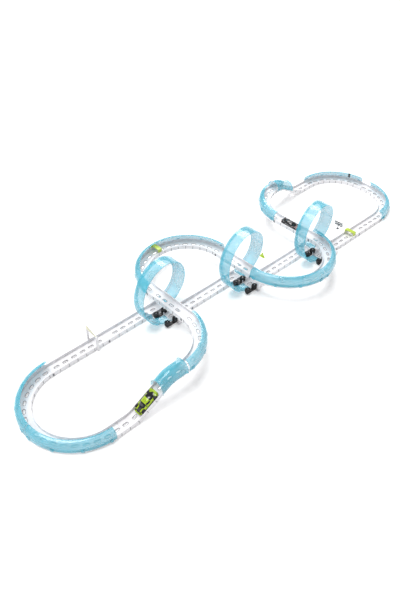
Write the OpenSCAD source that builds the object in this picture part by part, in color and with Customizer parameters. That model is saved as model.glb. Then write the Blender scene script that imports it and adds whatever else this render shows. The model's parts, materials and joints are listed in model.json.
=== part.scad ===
// Loop race set: one closed lane of clip-together track with three vertical
// loops, three battery boosters, raised crossings and two free-rolling cars.
// X runs along the main straight, Z is up, and the floor is z = 0.

/* [Lane] */
// Outside width of a track piece
track_w = 42; // [41:0.5:46]
// Height of the side walls
wall_h = 14; // [12:0.5:18]
// Thickness of the side walls
wall_t = 2.4; // [1.6:0.1:2.6]
// Height of the underside of the running floor
floor_z = 2; // [1.5:0.1:3]
// Thickness of the running floor
floor_t = 2.4; // [1.6:0.1:3]
// Spacing of the oval floor slots
slot_pitch = 30; // [28:0.2:34]
// Length of a floor slot
slot_l = 17; // [10:0.5:18]
// Width of a floor slot
slot_w = 7.5; // [4:0.5:8]

/* [Layout] */
// Radius of every curve at the middle of the lane
curve_r = 148; // [146:1:152]
// Sideways step of the lane at each loop
lane_pitch = 59.5; // [58:0.5:62]
// Distance between neighbouring loops
loop_gap = 296; // [294:1:304]
// Main straight from the left curve to the first loop
lead_in = 394; // [390:1:420]
// Third loop to the right-hand curves
lead_out = 361; // [356:1:380]
// Height of the raised track above the ground
deck_h = 65; // [62:1:70]
// Length of a bridge piece
bridge_len = 158; // [154:1:162]
// Floor length that a ramp climbs over
ramp_run = 154; // [150:1:160]
// Slope of the middle of a ramp
ramp_angle = 28; // [26:1:30]

/* [Guards] */
// Height where a guard starts to curl inwards
guard_curl_z = 20; // [18:1:30]
// Radius of the curl at a guard's top
guard_curl_r = 18; // [12:1:20]
// Thickness of the clear plastic
clear_t = 1.6; // [1.2:0.1:2]

/* [Loops] */
// Radius of a loop's outside
loop_r = 100.9; // [98:0.1:104]
// Outside width of a loop's channel
loop_w = 43.6; // [43:0.2:46]
// Height of a loop's far rim
rim_h = 16.4; // [12:0.2:18]
// Height of a loop's near rim
low_rim_h = 4.4; // [4:0.2:12]
// Thickness of a loop's floor and rims
loop_t = 2.2; // [1.6:0.1:3]

/* [Boosters] */
// Length of a booster's own lane
booster_len = 86; // [84:1:100]
// Radius of a drive roller
roller_r = 9.6; // [9:0.1:9.8]
// Height of a roller's rubber
roller_h = 12; // [8:0.5:14]
// Distance from the lane's middle to a roller's axle
roller_off = 27; // [27:0.1:27.4]
// Spacing of the two rollers on one side
roller_gap = 32; // [30:1:34]
// Radius of a roller's pin
pin_r = 1.5; // [1.2:0.1:2]

/* [Cars] */
// Length of a car
car_l = 76; // [74:1:80]
// Width of a car
car_w = 34; // [32:0.5:34]
// Height of a car
car_h = 19; // [17:0.5:22]
// Distance between the axles
wheelbase = 46; // [44:1:48]
// Radius of a wheel
wheel_r = 6.4; // [6:0.1:6.8]

/* [Hidden] */
$fn = 64;

// Colours
WHITE = [0.93, 0.93, 0.94];
CLEAR_BLUE = [0.52, 0.83, 0.92, 0.75];
RUBBER = [0.08, 0.08, 0.09];
LIME = [0.65, 0.78, 0.12];
GREY = [0.45, 0.45, 0.48];

// Gaps
fit_gap = 0.15;      // between pieces that clip together
joint_gap = 0.4;     // between neighbouring lengths of track
turn_gap = 0.06;     // radial clearance of every pin and axle

// Slot rows and lane ends
first_slot = 23.5;
second_slot = 21;
third_slot = 25;
bridge_slot = 38;
lane_end = 20.2;     // how far a lane runs under the loop that it feeds

// Places, with the whole set centred on X and Y
x_loop2 = (lead_in - lead_out) / 2;
y_start = curve_r - bridge_len / 2;
hw = track_w / 2;
floor_top = floor_z + floor_t;
guard_in = curve_r + hw + fit_gap;
guard_out = guard_in + clear_t;
x_left = loop_x(1) - lead_in;
x_right = loop_x(3) + lead_out;
y_low = y_start - curve_r;           // centres of the curves nearer the front
y_high = y_low + bridge_len;         // centres of the curves at the back
y_right = lane_y(3) + curve_r;       // centre of the lower right-hand curve
y_front = y_start - 2 * curve_r;     // straight along the front edge
y_back = y_high + curve_r;           // straight along the back edge

// Ramp: two equal arcs joined by a straight slope
ramp_slope_l = (deck_h - ramp_run * tan(ramp_angle / 2))
    / (sin(ramp_angle) - cos(ramp_angle) * tan(ramp_angle / 2));
ramp_arc_r = (ramp_run - ramp_slope_l * cos(ramp_angle)) / (2 * sin(ramp_angle));
ramp_flat = 27;
ramp_up_x = x_left + 2 * ramp_flat;
ramp_head = 3;         // level stretch at the top of the ramp down
ramp_down_x = loop_x(3) + curve_r + ramp_head;

// Loop channel
loop_zc = loop_r + 1.9;
loop_start = 13.7;     // turn of the loop where its channel begins, degrees
loop_joint = 95;       // where its two mouldings meet
rim_end = 336;         // where its rims have sunk to let the rollers in
rim_fade = 8;          // degrees over which they sink
tongue_w = 15.8;       // half width of its last, rimless stretch
loop_ease = 0.5;       // how gently it starts and ends its sideways move

// Booster
deck_t = 5;
bracket_x = [-28, 14];
bracket_y = [21.8, 31];
pod_t = 1.4;             // wall of the cell and motor pods
pod_gap = 0.3;
cell_r = 5.25;           // one AAA cell
cell_l = 44.5;
cell_pod = [[24, 74], [-35.6, -20.8], 13.4];
motor_r = 4.2;
motor_l = 18;
motor_pod = [[26, 52], [20.8, 33], 11.4];
switch_size = [5, 3, 3];
switch_travel = 3;
switch_at = [30, -29.7];

// Cars
tyre_w = 6;
axle_r = 1;
tread_gap = 0.1;
green_back = -14;      // distance of the green car from the middle of its slope
black_y = y_high - 60; // middle of the black car on its bridge

// Where the first slot of the piece after a length falls, so that the row runs on
function slot_after(length, first) =
    let (over = first + ceil((length - first) / slot_pitch) * slot_pitch - length)
    over < slot_l / 2 + 1 ? over + slot_pitch : over;

function loop_x(n) = x_loop2 + (n - 2) * loop_gap;
function lane_y(n) = y_start - n * lane_pitch;

// ---- Lane sections and basic track ----

module lane_section() {
    inner = hw - wall_t;
    polygon([[-hw, 0], [-inner, 0], [-inner, floor_z], [inner, floor_z], [inner, 0], [hw, 0],
        [hw, wall_h], [inner, wall_h], [inner, floor_top], [-inner, floor_top], [-inner, wall_h],
        [-hw, wall_h]]);
}

module slot(top = floor_top) {
    translate([0, 0, -1]) linear_extrude(top + 2) {
        square([slot_l - slot_w, slot_w], center = true);
        for (end = [-1, 1]) translate([end * (slot_l - slot_w) / 2, 0]) circle(d = slot_w);
    }
}

// A straight length along +X from the origin, with its first slot at first
module straight(length, first = slot_pitch / 2) {
    difference() {
        translate([joint_gap / 2, 0, 0]) rotate([90, 0, 90])
            linear_extrude(length - joint_gap) lane_section();
        for (x = [first:slot_pitch:length - slot_l / 2 - 1]) translate([x, 0, 0]) slot();
    }
}

// A curve about the origin, from angle a by turn degrees
module curve(a, turn = 90) {
    count = round(curve_r * turn * PI / 180 / slot_pitch);
    trim = joint_gap / 2 / curve_r * 180 / PI;
    difference() {
        rotate([0, 0, a + trim]) rotate_extrude(angle = turn - 2 * trim, $fn = 128)
            translate([curve_r, 0]) lane_section();
        for (i = [0:count - 1]) rotate([0, 0, a + (i + 0.5) * turn / count])
            translate([curve_r, 0, 0]) rotate([0, 0, 90]) slot();
    }
}

module ground_straight(x0, x1, y, first = slot_pitch / 2) {
    color(WHITE) translate([x0, y, 0]) straight(x1 - x0, first);
}

module raised_curve(cx, cy, a, turn = 90) {
    color(WHITE) translate([cx, cy, deck_h]) curve(a, turn);
}

module bridge(n) {
    color(WHITE) translate([loop_x(n), y_low, deck_h]) rotate([0, 0, 90])
        straight(bridge_len, bridge_slot);
}

module left_curve() {
    color(WHITE) translate([x_left, y_low, 0]) for (a = [90, 180]) curve(a);
}
module start_straight() {
    half = lead_in / 2;
    ground_straight(x_left, x_left + half, lane_y(0), first_slot);
    ground_straight(x_left + half, loop_x(1) + lane_end, lane_y(0), slot_after(half, first_slot));
}
module loop_straight(n) {
    ground_straight(loop_x(n) + booster_len, loop_x(n + 1) + lane_end, lane_y(n), second_slot);
}
module straight_1() { loop_straight(1); }
module straight_2() { loop_straight(2); }
module straight_3() {
    x0 = loop_x(3) + booster_len;
    half = (x_right - x0) / 2;
    ground_straight(x0, x0 + half, lane_y(3), third_slot);
    ground_straight(x0 + half, x_right, lane_y(3), slot_after(half, third_slot));
}
module right_curve() {
    color(WHITE) translate([x_right, y_right, 0]) curve(270);
    color(WHITE) translate([x_right, y_high, 0]) curve(0);
}
module short_straights() {
    ground_straight(x_left, x_left + ramp_flat, y_front);
    color(WHITE) translate([x_right + curve_r, y_right, 0])
        rotate([0, 0, 90]) straight(y_high - y_right);
}
module curve_1() { raised_curve(loop_x(1) - curve_r, y_low, 270); }
module curve_2() { for (a = [0, 90]) raised_curve(loop_x(1.5), y_high, a); }
module curve_3() { for (a = [180, 270]) raised_curve(loop_x(2.5), y_low, a); }
module curve_4() { raised_curve(loop_x(3) + curve_r, y_high, 90); }
module bridge_1() { bridge(1); }
module bridge_2() { bridge(2); }
module bridge_3() { bridge(3); }

// ---- Ramps ----

// Points [along, height] of the climbing floor line: foot arc, slope, head arc
function ramp_line(steps = 10) = concat(
    [for (i = [0:steps]) let (a = i * ramp_angle / steps)
        [ramp_arc_r * sin(a), ramp_arc_r * (1 - cos(a))]],
    [for (i = [steps:-1:0]) let (a = i * ramp_angle / steps)
        [ramp_run - ramp_arc_r * sin(a), deck_h - ramp_arc_r * (1 - cos(a))]]
);

function ramp_height(s) = lookup(s, concat([[-ramp_run, 0]], ramp_line(), [[2 * ramp_run, deck_h]]));

// Band between two heights above the floor line, with flats before and after
module ramp_band(low, high, before, after) {
    line = concat([[-before, 0]], ramp_line(), [[ramp_run + after, deck_h]]);
    last = len(line) - 1;
    polygon(concat(
        [for (p = line) p + [0, low]],
        [for (i = [last:-1:0]) line[i] + [0, high]]
    ));
}

module ramp(before, after) {
    total = before + ramp_run + after;
    count = round(total / slot_pitch);
    difference() {
        union() {
            translate([0, hw, 0]) rotate([90, 0, 0])
                linear_extrude(track_w) ramp_band(floor_z, floor_top, before, after);
            for (y = [-hw + wall_t, hw]) translate([0, y, 0]) rotate([90, 0, 0])
                linear_extrude(wall_t) ramp_band(0, wall_h, before, after);
        }
        for (i = [0:count - 1]) translate([(i + 0.5) * total / count - before, 0, 0])
            slot(deck_h + floor_top);
    }
}

module ramp_up() {
    head = loop_x(1) - curve_r - ramp_up_x - ramp_run;
    color(WHITE) translate([ramp_up_x, y_front, 0])
        ramp(ramp_flat - joint_gap, head - joint_gap);
}
module ramp_down() {
    foot = x_right - ramp_down_x - ramp_run;
    color(WHITE) translate([ramp_down_x + ramp_run, y_back, 0]) rotate([0, 0, 180])
        ramp(foot - joint_gap, ramp_head - joint_gap);
}

// ---- Clear guards, tunnels and loops ----

// Upright sheet whose top curls in over the lane
module guard_section(steps = 8) {
    cx = guard_out - guard_curl_r;
    inner_r = guard_curl_r - clear_t;
    polygon(concat(
        [[guard_in, wall_h - 8], [guard_out, wall_h - 8]],
        [for (i = [0:steps]) let (a = i * 90 / steps)
            [cx + guard_curl_r * cos(a), guard_curl_z + guard_curl_r * sin(a)]],
        [for (i = [steps:-1:0]) let (a = i * 90 / steps)
            [cx + inner_r * cos(a), guard_curl_z + inner_r * sin(a)]]
    ));
}

// Guard about the origin, with clips that grip the wall's outside
module guard(a, turn) {
    rotate([0, 0, a]) rotate_extrude(angle = turn, $fn = 128) guard_section();
    for (part = [0.06, 0.35, 0.65, 0.94]) rotate([0, 0, a + part * turn])
        translate([guard_out - 0.2, -5, wall_h - 9]) cube([1.8, 10, 11]);
}

module guard_pair(cx, cy, z, angles, turn = 89.4) {
    color(CLEAR_BLUE) translate([cx, cy, z]) for (a = angles) guard(a + 0.3, turn);
}

module left_guard() { guard_pair(x_left, y_low, 0, [90, 180]); }
module guard_1() { guard_pair(loop_x(1) - curve_r, y_low, deck_h, [270 + 2], 80); }
module guard_2() { guard_pair(loop_x(1.5), y_high, deck_h, [0, 90]); }
module guard_3() { guard_pair(loop_x(2.5), y_low, deck_h, [180, 270]); }
module guard_4() { guard_pair(loop_x(3) + curve_r, y_high, deck_h, [90 + 14], 75); }
module right_guard() {
    guard_pair(x_right, y_right, 0, [270]);
    guard_pair(x_right, y_high, 0, [0]);
}

// Solid through equal rings of points, each an open shell's outer face and then its inner
// face backwards, closed at both ends
module shell_sweep(rings) {
    n = len(rings[0]);
    last = (len(rings) - 1) * n;
    points = [for (ring = rings, p = ring) p];
    faces = concat(
        [for (i = [0:n / 2 - 2]) [i, i + 1, n - 2 - i, n - 1 - i]],
        [for (r = [0:n:last - 1], k = [0:n - 1]) let (m = (k + 1) % n) [r + k, r + n + k, r + m]],
        [for (r = [0:n:last - 1], k = [0:n - 1]) let (m = (k + 1) % n) [r + m, r + n + k, r + n + m]],
        [for (i = [0:n / 2 - 2]) [last + n - 1 - i, last + n - 2 - i, last + i + 1, last + i]]
    );
    polyhedron(points, faces, convexity = 10);
}

// Arched tunnel over a ramp from s0 to s1, whose ends flare out into lips
tunnel_in = hw + 0.35;
tunnel_side = 16;
tunnel_grip = 6;
tunnel_lip = 4;

function tunnel_edge(r) = concat([[-r, tunnel_grip]],
    [for (a = [180:-15:0]) [r * cos(a), tunnel_side + r * sin(a)]], [[r, tunnel_grip]]);
function tunnel_ring(s, lip) = let (
        z = ramp_height(s),
        outer = tunnel_edge(tunnel_in + clear_t + lip),
        inner = tunnel_edge(tunnel_in + lip),
        n = len(inner))
    [for (p = concat(outer, [for (i = [n - 1:-1:0]) inner[i]])) [s, p[0], z + p[1]]];

module tunnel(s0, s1, steps = 12) {
    flare = [tunnel_lip, tunnel_lip * 0.4, 0];
    shell_sweep(concat(
        [for (i = [0:2]) tunnel_ring(s0 + 2 * i, flare[i])],
        [for (i = [1:steps - 1]) tunnel_ring(s0 + 4 + (s1 - s0 - 8) * i / steps, 0)],
        [for (i = [2:-1:0]) tunnel_ring(s1 - 2 * i, flare[i])]
    ));
}
module tunnels() {
    color(CLEAR_BLUE) {
        translate([ramp_up_x, y_front, 0]) tunnel(99, 191);
        translate([ramp_down_x + ramp_run, y_back, 0]) rotate([0, 0, 180]) tunnel(76, 167);
    }
}

// Helical channel: a turns from the start lane to the next lane
function loop_side(a) = let (t = a / 360) t - loop_ease * sin(360 * t) / (2 * PI);
function rim_turn(a) = (a - loop_start) * 360 / (360 - loop_start);
function loop_point(a, side, up) = [
    loop_r * sin(a) - up * sin(rim_turn(a)),
    side - lane_pitch * loop_side(a),
    loop_zc - loop_r * cos(a) + up * cos(rim_turn(a))
];

// The rims sink and the floor narrows into a tongue at the rollers
function fade(a) = max(0, min(1, (rim_end - a) / rim_fade));
function channel(a) = let (
        w = tongue_w + (loop_w / 2 - tongue_w) * fade(a),
        t = loop_t + 0.4,
        near = t + (low_rim_h - t) * fade(a),
        far = t + (rim_h - t) * fade(a),
        inner = w - loop_t)
    [[-w, near], [-w, 0], [w, 0], [w, far], [inner, far], [inner, loop_t], [-inner, loop_t], [-inner, near]];
function loop_rings(a0, a1, steps) = [for (i = [0:steps]) let (a = a0 + (a1 - a0) * i / steps)
    [for (p = channel(a)) loop_point(a, p[0], p[1])]];

module race_loop(n) {
    color(CLEAR_BLUE) translate([loop_x(n), lane_y(n - 1), 0]) {
        shell_sweep(loop_rings(loop_start, loop_joint - 0.1, 14));
        shell_sweep(loop_rings(loop_joint + 0.1, 360, 44));
    }
}
module loop_1() { race_loop(1); }
module loop_2() { race_loop(2); }
module loop_3() { race_loop(3); }

// Posts that hold the first two bridges up, each with a foot and a saddle
module bridge_posts() {
    color(WHITE) for (n = [1, 2]) translate([loop_x(n) + 14, lane_y(n) - 40, 0]) {
        translate([-7, -6, 0]) cube([14, 12, 2]);
        translate([-4, -3, 0]) cube([8, 6, deck_h - fit_gap]);
        translate([-7, -6, deck_h - 4]) cube([14, 12, 4 - fit_gap]);
    }
}

// ---- Boosters ----

// Places of rollers a to d, from the booster's corner of the lane
function roller_at(k) = [9 - roller_gap * (k % 2), roller_off * (k < 2 ? 1 : -1)];

function pod_size(pod) = [pod[0][1] - pod[0][0], pod[1][1] - pod[1][0], pod[2]];
module pod_block(pod, shrink, z) {
    size = pod_size(pod);
    translate([pod[0][0] + shrink, pod[1][0] + shrink, z])
        cube([size[0] - 2 * shrink, size[1] - 2 * shrink, size[2] - shrink - z]);
}

module booster(n) {
    color(WHITE) translate([loop_x(n), lane_y(n), 0]) difference() {
        union() {
            straight(booster_len);
            pod_block(cell_pod, 0, 0);
            pod_block(motor_pod, 0, 0);
        }
        pod_block(cell_pod, pod_t, -1);
        pod_block(motor_pod, pod_t, -1);
        translate([switch_at[0] - 1, switch_at[1] - 1.9, cell_pod[2] - 2])
            cube([switch_size[0] + switch_travel + 2, switch_size[1] + 0.8, 4]);
        for (k = [0:3]) translate([roller_at(k)[0], roller_at(k)[1], deck_t + 1])
            cylinder(r = roller_r + 0.8, h = wall_h);
    }
}
module booster_1() { booster(1); }
module booster_2() { booster(2); }
module booster_3() { booster(3); }

// Bar beside the lane with a boss and a bore for each of its two roller pins
module roller_bracket() {
    difference() {
        union() {
            translate([bracket_x[0], bracket_y[0], 0])
                cube([bracket_x[1] - bracket_x[0], bracket_y[1] - bracket_y[0], deck_t]);
            translate([0, hw + fit_gap, 0]) cube([bracket_x[1], 2, deck_t]);
            for (k = [0, 1]) translate(roller_at(k)) cylinder(r = pin_r + 2.5, h = deck_t + 1);
        }
        for (k = [0, 1]) translate([roller_at(k)[0], roller_at(k)[1], 1.2])
            cylinder(r = pin_r + turn_gap, h = 2 * deck_t);
    }
}
module roller_brackets() {
    color(RUBBER) at_boosters() for (side = [0, 1]) mirror([0, side, 0]) roller_bracket();
}

// Rubber roller on its pin
module roller(n, k) {
    p = roller_at(k);
    base = deck_t + 1 + 0.6;
    color(RUBBER) translate([loop_x(n) + p[0], lane_y(n) + p[1], 0]) {
        translate([0, 0, 1.4]) cylinder(r = pin_r, h = base + roller_h);
        translate([0, 0, base]) difference() {
            cylinder(r = roller_r, h = roller_h);
            translate([0, 0, roller_h - 2]) cylinder(r = roller_r - 3, h = 3);
        }
    }
}
module roller_1a() { roller(1, 0); }
module roller_1b() { roller(1, 1); }
module roller_1c() { roller(1, 2); }
module roller_1d() { roller(1, 3); }
module roller_2a() { roller(2, 0); }
module roller_2b() { roller(2, 1); }
module roller_2c() { roller(2, 2); }
module roller_2d() { roller(2, 3); }
module roller_3a() { roller(3, 0); }
module roller_3b() { roller(3, 1); }
module roller_3c() { roller(3, 2); }
module roller_3d() { roller(3, 3); }

module at_boosters() { for (n = [1:3]) translate([loop_x(n), lane_y(n), 0]) children(); }

module booster_motors() {
    color("silver") at_boosters()
        translate([motor_pod[0][0] + 3, (motor_pod[1][0] + motor_pod[1][1]) / 2, motor_r + 1])
            rotate([0, 90, 0]) {
                cylinder(r = motor_r, h = motor_l);
                translate([0, 0, -1]) cylinder(r = 0.8, h = motor_l + 2);
            }
}
module batteries() {
    color("gold") at_boosters()
        translate([cell_pod[0][0] + 2.5, (cell_pod[1][0] + cell_pod[1][1]) / 2, cell_r + 1.2])
            rotate([0, 90, 0]) {
                cylinder(r = cell_r, h = cell_l - 1);
                cylinder(r = 1.8, h = cell_l);
            }
}
module battery_doors() {
    color(GREY) at_boosters() intersection() {
        pod_block(cell_pod, pod_t + pod_gap, 0.1);
        translate([0, -3 * hw, 0]) cube([booster_len, 3 * hw, 0.9]);
    }
}

module power_switch(n) {
    color(RUBBER) translate([loop_x(n) + switch_at[0], lane_y(n) + switch_at[1] - switch_size[1] / 2,
        cell_pod[2] - 1]) cube(switch_size);
}
module power_switch_1() { power_switch(1); }
module power_switch_2() { power_switch(2); }
module power_switch_3() { power_switch(3); }

// ---- Cars: forwards is +X, and the wheels stand on z = 0 ----

axle_z = wheel_r;
module car_side() {
    polygon([[-car_l / 2, 5], [car_l / 2, 4], [car_l / 2, 8], [car_l * 0.28, 12.5],
        [car_l * 0.12, car_h - 0.5], [-car_l * 0.14, car_h], [-car_l * 0.4, 13.5], [-car_l / 2, 12]]);
}
module car_plan() {
    w = car_w / 2;
    polygon([[-car_l / 2, -w + 3], [-car_l / 2 + 6, -w], [car_l * 0.3, -w], [car_l / 2 - 2, -w + 6],
        [car_l / 2, 0], [car_l / 2 - 2, w - 6], [car_l * 0.3, w], [-car_l / 2 + 6, w], [-car_l / 2, w - 3]]);
}
module car_body(paint) {
    color(paint) difference() {
        intersection() {
            translate([0, car_w, 0]) rotate([90, 0, 0]) linear_extrude(2 * car_w) car_side();
            linear_extrude(2 * car_h) car_plan();
        }
        for (x = [-1, 1]) translate([x * wheelbase / 2, car_w, axle_z]) rotate([90, 0, 0])
            cylinder(r = wheel_r + 1.2, h = 2 * car_w);
        translate([-car_l / 2 + 4, -car_w / 2 + 7, 0]) cube([car_l - 8, car_w - 14, 9]);
    }
}
module car_chassis() {
    color(GREY) difference() {
        translate([-car_l / 2 + 5, -car_w / 2 + 7.2, 3.5]) cube([car_l - 10, car_w - 14.4, 5.3]);
        for (x = [-1, 1]) translate([x * wheelbase / 2, car_w, axle_z]) rotate([90, 0, 0])
            cylinder(r = axle_r + turn_gap, h = 2 * car_w);
    }
}
module car_wheels(x) {
    color(RUBBER) translate([x, 0, axle_z]) rotate([90, 0, 0]) {
        cylinder(r = axle_r, h = car_w - 2, center = true);
        for (side = [0, 1]) mirror([0, 0, side]) translate([0, 0, car_w / 2 - tyre_w - 0.5])
            cylinder(r = wheel_r, h = tyre_w);
    }
}

// The green car points down its ramp, and the black car towards the front
module on_ramp() {
    translate([ramp_up_x + ramp_run / 2, y_front, deck_h / 2 + floor_top]) rotate([0, -ramp_angle, 0])
        translate([green_back, 0, tread_gap]) rotate([0, 0, 180]) children();
}
module on_bridge() {
    translate([loop_x(3), black_y, deck_h + floor_top + tread_gap]) rotate([0, 0, -90]) children();
}
module green_body() { on_ramp() car_body(LIME); }
module green_chassis() { on_ramp() car_chassis(); }
module green_front_wheels() { on_ramp() car_wheels(wheelbase / 2); }
module green_rear_wheels() { on_ramp() car_wheels(-wheelbase / 2); }
module black_body() { on_bridge() car_body([0.2, 0.2, 0.22]); }
module black_chassis() { on_bridge() car_chassis(); }
module black_front_wheels() { on_bridge() car_wheels(wheelbase / 2); }
module black_rear_wheels() { on_bridge() car_wheels(-wheelbase / 2); }

// ---- Gates and signs ----

gate_x = x_left + 153;
gate_bar_z = 50;
tag_turn = 19;       // where a small black tag hangs on the upper right guard
module start_gate() {
    color(WHITE) translate([gate_x, lane_y(0), 0]) {
        for (side = [-1, 1]) translate([-3, side * (hw + 3.2) - 2.5, 0]) cube([6, 5, gate_bar_z + 4]);
        translate([-1.5, -hw - 3.2, gate_bar_z]) cube([3, track_w + 6.4, 4]);
        translate([-0.8, 0, gate_bar_z + 3]) rotate([90, 0, 90]) linear_extrude(1.6)
            polygon([[-hw - 3, 0], [hw + 5, 0], [hw + 5, 15]]);
    }
}

// Low lime arch that stands on the lane's two walls, just over the cars
arch_l = 15;
arch_z = floor_top + tread_gap + car_h + 0.7;
arch_y = hw - 1.6;
module lap_gate() {
    color(LIME) {
        for (side = [0, 1]) mirror([0, side, 0])
            translate([-arch_l / 2, arch_y - 1.6, wall_h + 0.1]) cube([arch_l, 1.6, arch_z - wall_h + 1]);
        translate([-arch_l / 2, -arch_y, arch_z]) cube([arch_l, 2 * arch_y, 1.6]);
    }
}
module lap_gates() {
    translate([loop_x(1.5) - 6, y_back, deck_h]) lap_gate();
    translate([loop_x(3) + 192, lane_y(3), 0]) lap_gate();
}

// Board w by h whose lower edge is at z, on a stake with a foot
module sign_board(w, h, z) {
    color(GREY) {
        translate([-4, -4, 0]) cube([8, 8, 1.6]);
        translate([-1.2, -1.2, 0]) cube([2.4, 2.4, z + h / 2]);
        translate([1, -w / 2, z]) cube([1.6, w, h]);
    }
}
module marker_signs() {
    translate([loop_x(3) + 200, lane_y(3) + 60, 0]) sign_board(36, 17, 13);
    translate([loop_x(2) + 160, lane_y(2) + 75, 0]) color(LIME) {
        translate([-4, -10, 0]) cube([8, 20, 1.6]);
        translate([-0.8, 0, 0]) rotate([90, 0, 90]) linear_extrude(1.6) polygon([[-10, 0], [10, 0], [0, 18]]);
    }
    color(RUBBER) translate([x_right, y_high, 0]) rotate([0, 0, tag_turn])
        translate([guard_out - guard_curl_r - 2.3, -4, guard_curl_z + guard_curl_r - 14]) cube([1.8, 8, 17]);
}

left_curve();
start_straight();
straight_1();
straight_2();
straight_3();
right_curve();
short_straights();
ramp_up();
ramp_down();
curve_1();
curve_2();
curve_3();
curve_4();
bridge_1();
bridge_2();
bridge_3();
left_guard();
guard_1();
guard_2();
guard_3();
guard_4();
right_guard();
tunnels();
loop_1();
loop_2();
loop_3();
bridge_posts();
booster_1();
booster_2();
booster_3();
roller_brackets();
roller_1a();
roller_1b();
roller_1c();
roller_1d();
roller_2a();
roller_2b();
roller_2c();
roller_2d();
roller_3a();
roller_3b();
roller_3c();
roller_3d();
booster_motors();
batteries();
battery_doors();
power_switch_1();
power_switch_2();
power_switch_3();
green_body();
green_chassis();
green_front_wheels();
green_rear_wheels();
black_body();
black_chassis();
black_front_wheels();
black_rear_wheels();
start_gate();
lap_gates();
marker_signs();
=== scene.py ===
# Looks of the loop race set: smooth clear-blue parts, cars, rollers and lane details
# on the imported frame, with a pale floor, soft light and the photo's viewing angle.
import json
from math import ceil, cos, pi, radians, sin

import bmesh
import bpy
from mathutils import Matrix, Vector


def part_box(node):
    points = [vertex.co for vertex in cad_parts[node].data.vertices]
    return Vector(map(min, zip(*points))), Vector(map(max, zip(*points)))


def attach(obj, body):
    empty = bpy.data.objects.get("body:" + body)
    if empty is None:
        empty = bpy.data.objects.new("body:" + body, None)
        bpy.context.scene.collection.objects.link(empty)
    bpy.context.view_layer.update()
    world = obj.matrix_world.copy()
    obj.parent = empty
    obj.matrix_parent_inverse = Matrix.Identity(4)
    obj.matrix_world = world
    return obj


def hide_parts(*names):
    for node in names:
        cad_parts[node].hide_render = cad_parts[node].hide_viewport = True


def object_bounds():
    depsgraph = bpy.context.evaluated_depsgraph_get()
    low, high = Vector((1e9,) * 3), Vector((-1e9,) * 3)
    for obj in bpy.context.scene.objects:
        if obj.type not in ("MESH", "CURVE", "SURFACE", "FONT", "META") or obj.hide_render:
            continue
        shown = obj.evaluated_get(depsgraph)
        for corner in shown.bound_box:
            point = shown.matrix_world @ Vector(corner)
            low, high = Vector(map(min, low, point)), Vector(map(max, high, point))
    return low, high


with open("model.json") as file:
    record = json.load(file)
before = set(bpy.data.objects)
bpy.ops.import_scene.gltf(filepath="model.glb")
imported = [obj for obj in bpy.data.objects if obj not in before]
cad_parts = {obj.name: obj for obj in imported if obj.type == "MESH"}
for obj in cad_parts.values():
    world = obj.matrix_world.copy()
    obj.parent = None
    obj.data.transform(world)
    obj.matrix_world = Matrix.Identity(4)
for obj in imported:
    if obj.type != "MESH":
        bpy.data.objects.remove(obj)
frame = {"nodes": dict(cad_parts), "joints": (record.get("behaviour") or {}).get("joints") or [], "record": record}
cad_bounds = [list(corner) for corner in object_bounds()]
JOINTS = {joint["name"]: joint for joint in frame["joints"]}
MM = 0.001

# ---- Places, all from the frame ----


def middle(node, axis):
    low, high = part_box(node)
    return (low[axis] + high[axis]) / 2


def size(node, axis):
    low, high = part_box(node)
    return high[axis] - low[axis]


LANE_W = size("bridge_1", 0)
R_OUT = size("curve_2", 0) / 2
R_MID = R_OUT - LANE_W / 2
LOOP_X = [middle(f"bridge_{n}", 0) for n in (1, 2, 3)]
LANE_Y = [middle(n, 1) for n in ("start_straight", "straight_1", "straight_2", "straight_3")]
FLOOR_TOP = 4.4 * MM
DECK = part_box("bridge_1")[0][2]
LANE_STEP = LANE_Y[0] - LANE_Y[1]
Y_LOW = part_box("curve_3")[0][1] + R_OUT
Y_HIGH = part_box("curve_2")[1][1] - R_OUT
X_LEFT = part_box("left_curve")[0][0] + R_OUT
X_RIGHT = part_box("right_curve")[1][0] - R_OUT
Y_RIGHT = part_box("right_curve")[0][1] + R_OUT
Y_FRONT = middle("ramp_up", 1)
Y_BACK = middle("ramp_down", 1)
WALL_T = 2.4 * MM
SLOT_PITCH = 30 * MM
SLOT_L = 17 * MM
SLOT_W = 7.5 * MM
BOOSTER_L = 86 * MM
LANE_END = 20.2 * MM
RAMP_FLAT = 27 * MM
RAMP_HEAD = 3 * MM

# ---- Materials ----


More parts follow.
